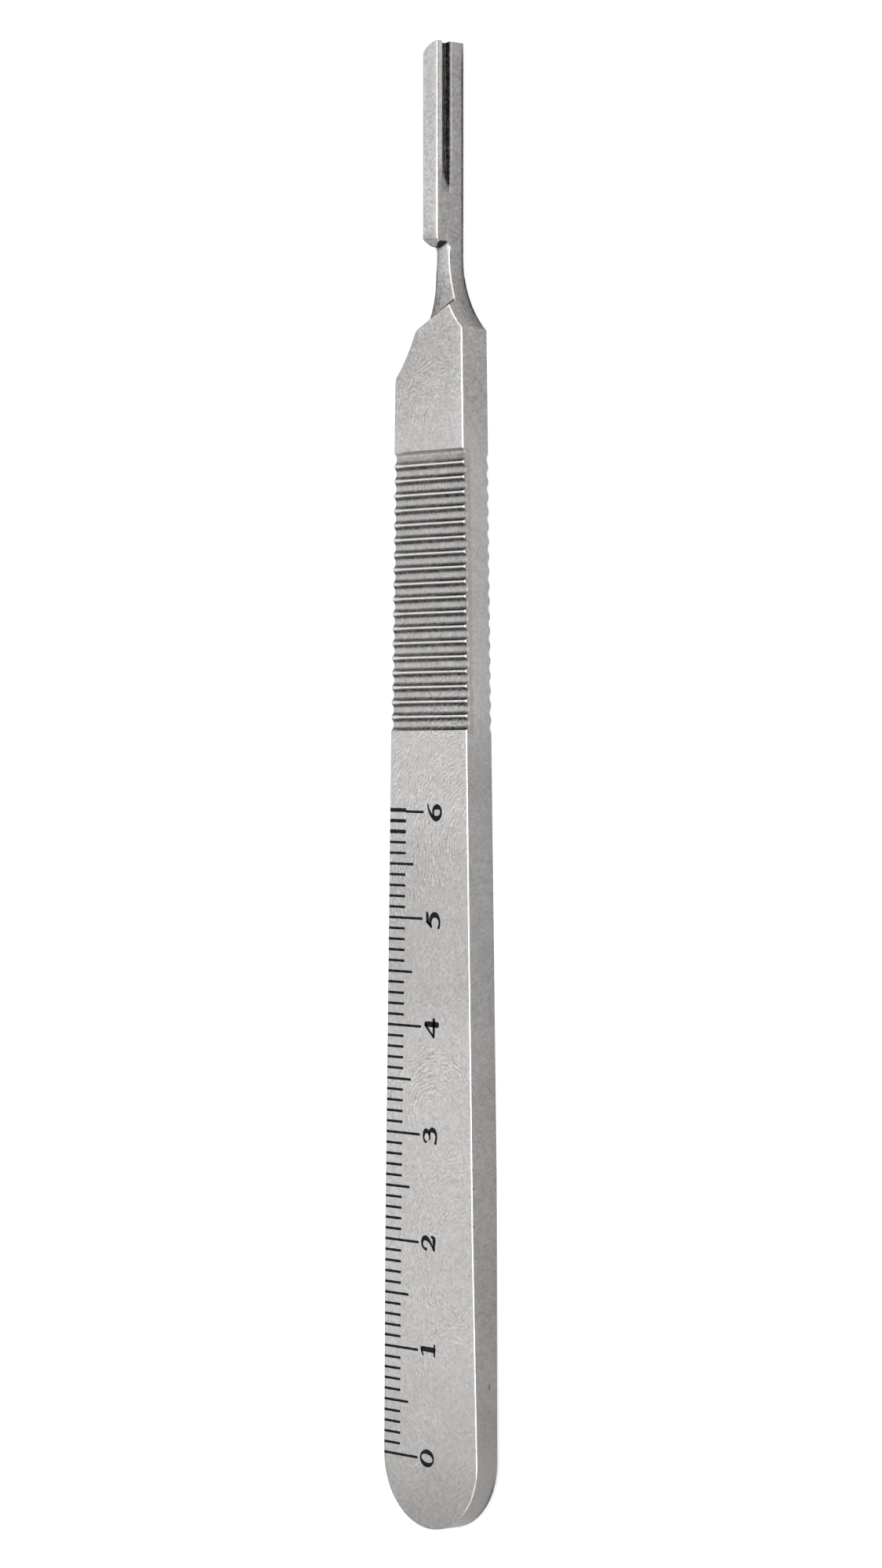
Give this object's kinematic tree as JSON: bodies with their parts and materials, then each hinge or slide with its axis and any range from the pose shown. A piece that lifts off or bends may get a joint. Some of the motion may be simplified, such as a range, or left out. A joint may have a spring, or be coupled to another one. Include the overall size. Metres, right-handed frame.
{
  "type": "scalpel handle",
  "caption": "Flat one-piece steel scalpel handle with a slotted blade fitting at one end, a grooved grip, a round butt and a millimetre scale along its face.",
  "frame": {"origin": "bottom centre of the bounding box: the handle lies on its back, and the origin is halfway along it and across it, on the surface it lies on", "axes": "+Y along the handle towards the blade end, +Z out of the face with the scale, +X to the right when the face is seen with the blade end up"},
  "size_m": [0.0128, 0.1376, 0.0034],
  "materials": {
    "satin_steel": "fine satin stainless steel with faint handling scratches",
    "scale_ink": "black etched marks of the scale, drawn on the face and with no solid of their own"
  },
  "bodies": {
    "root": {"handle": "satin_steel"}
  },
  "joints": []
}
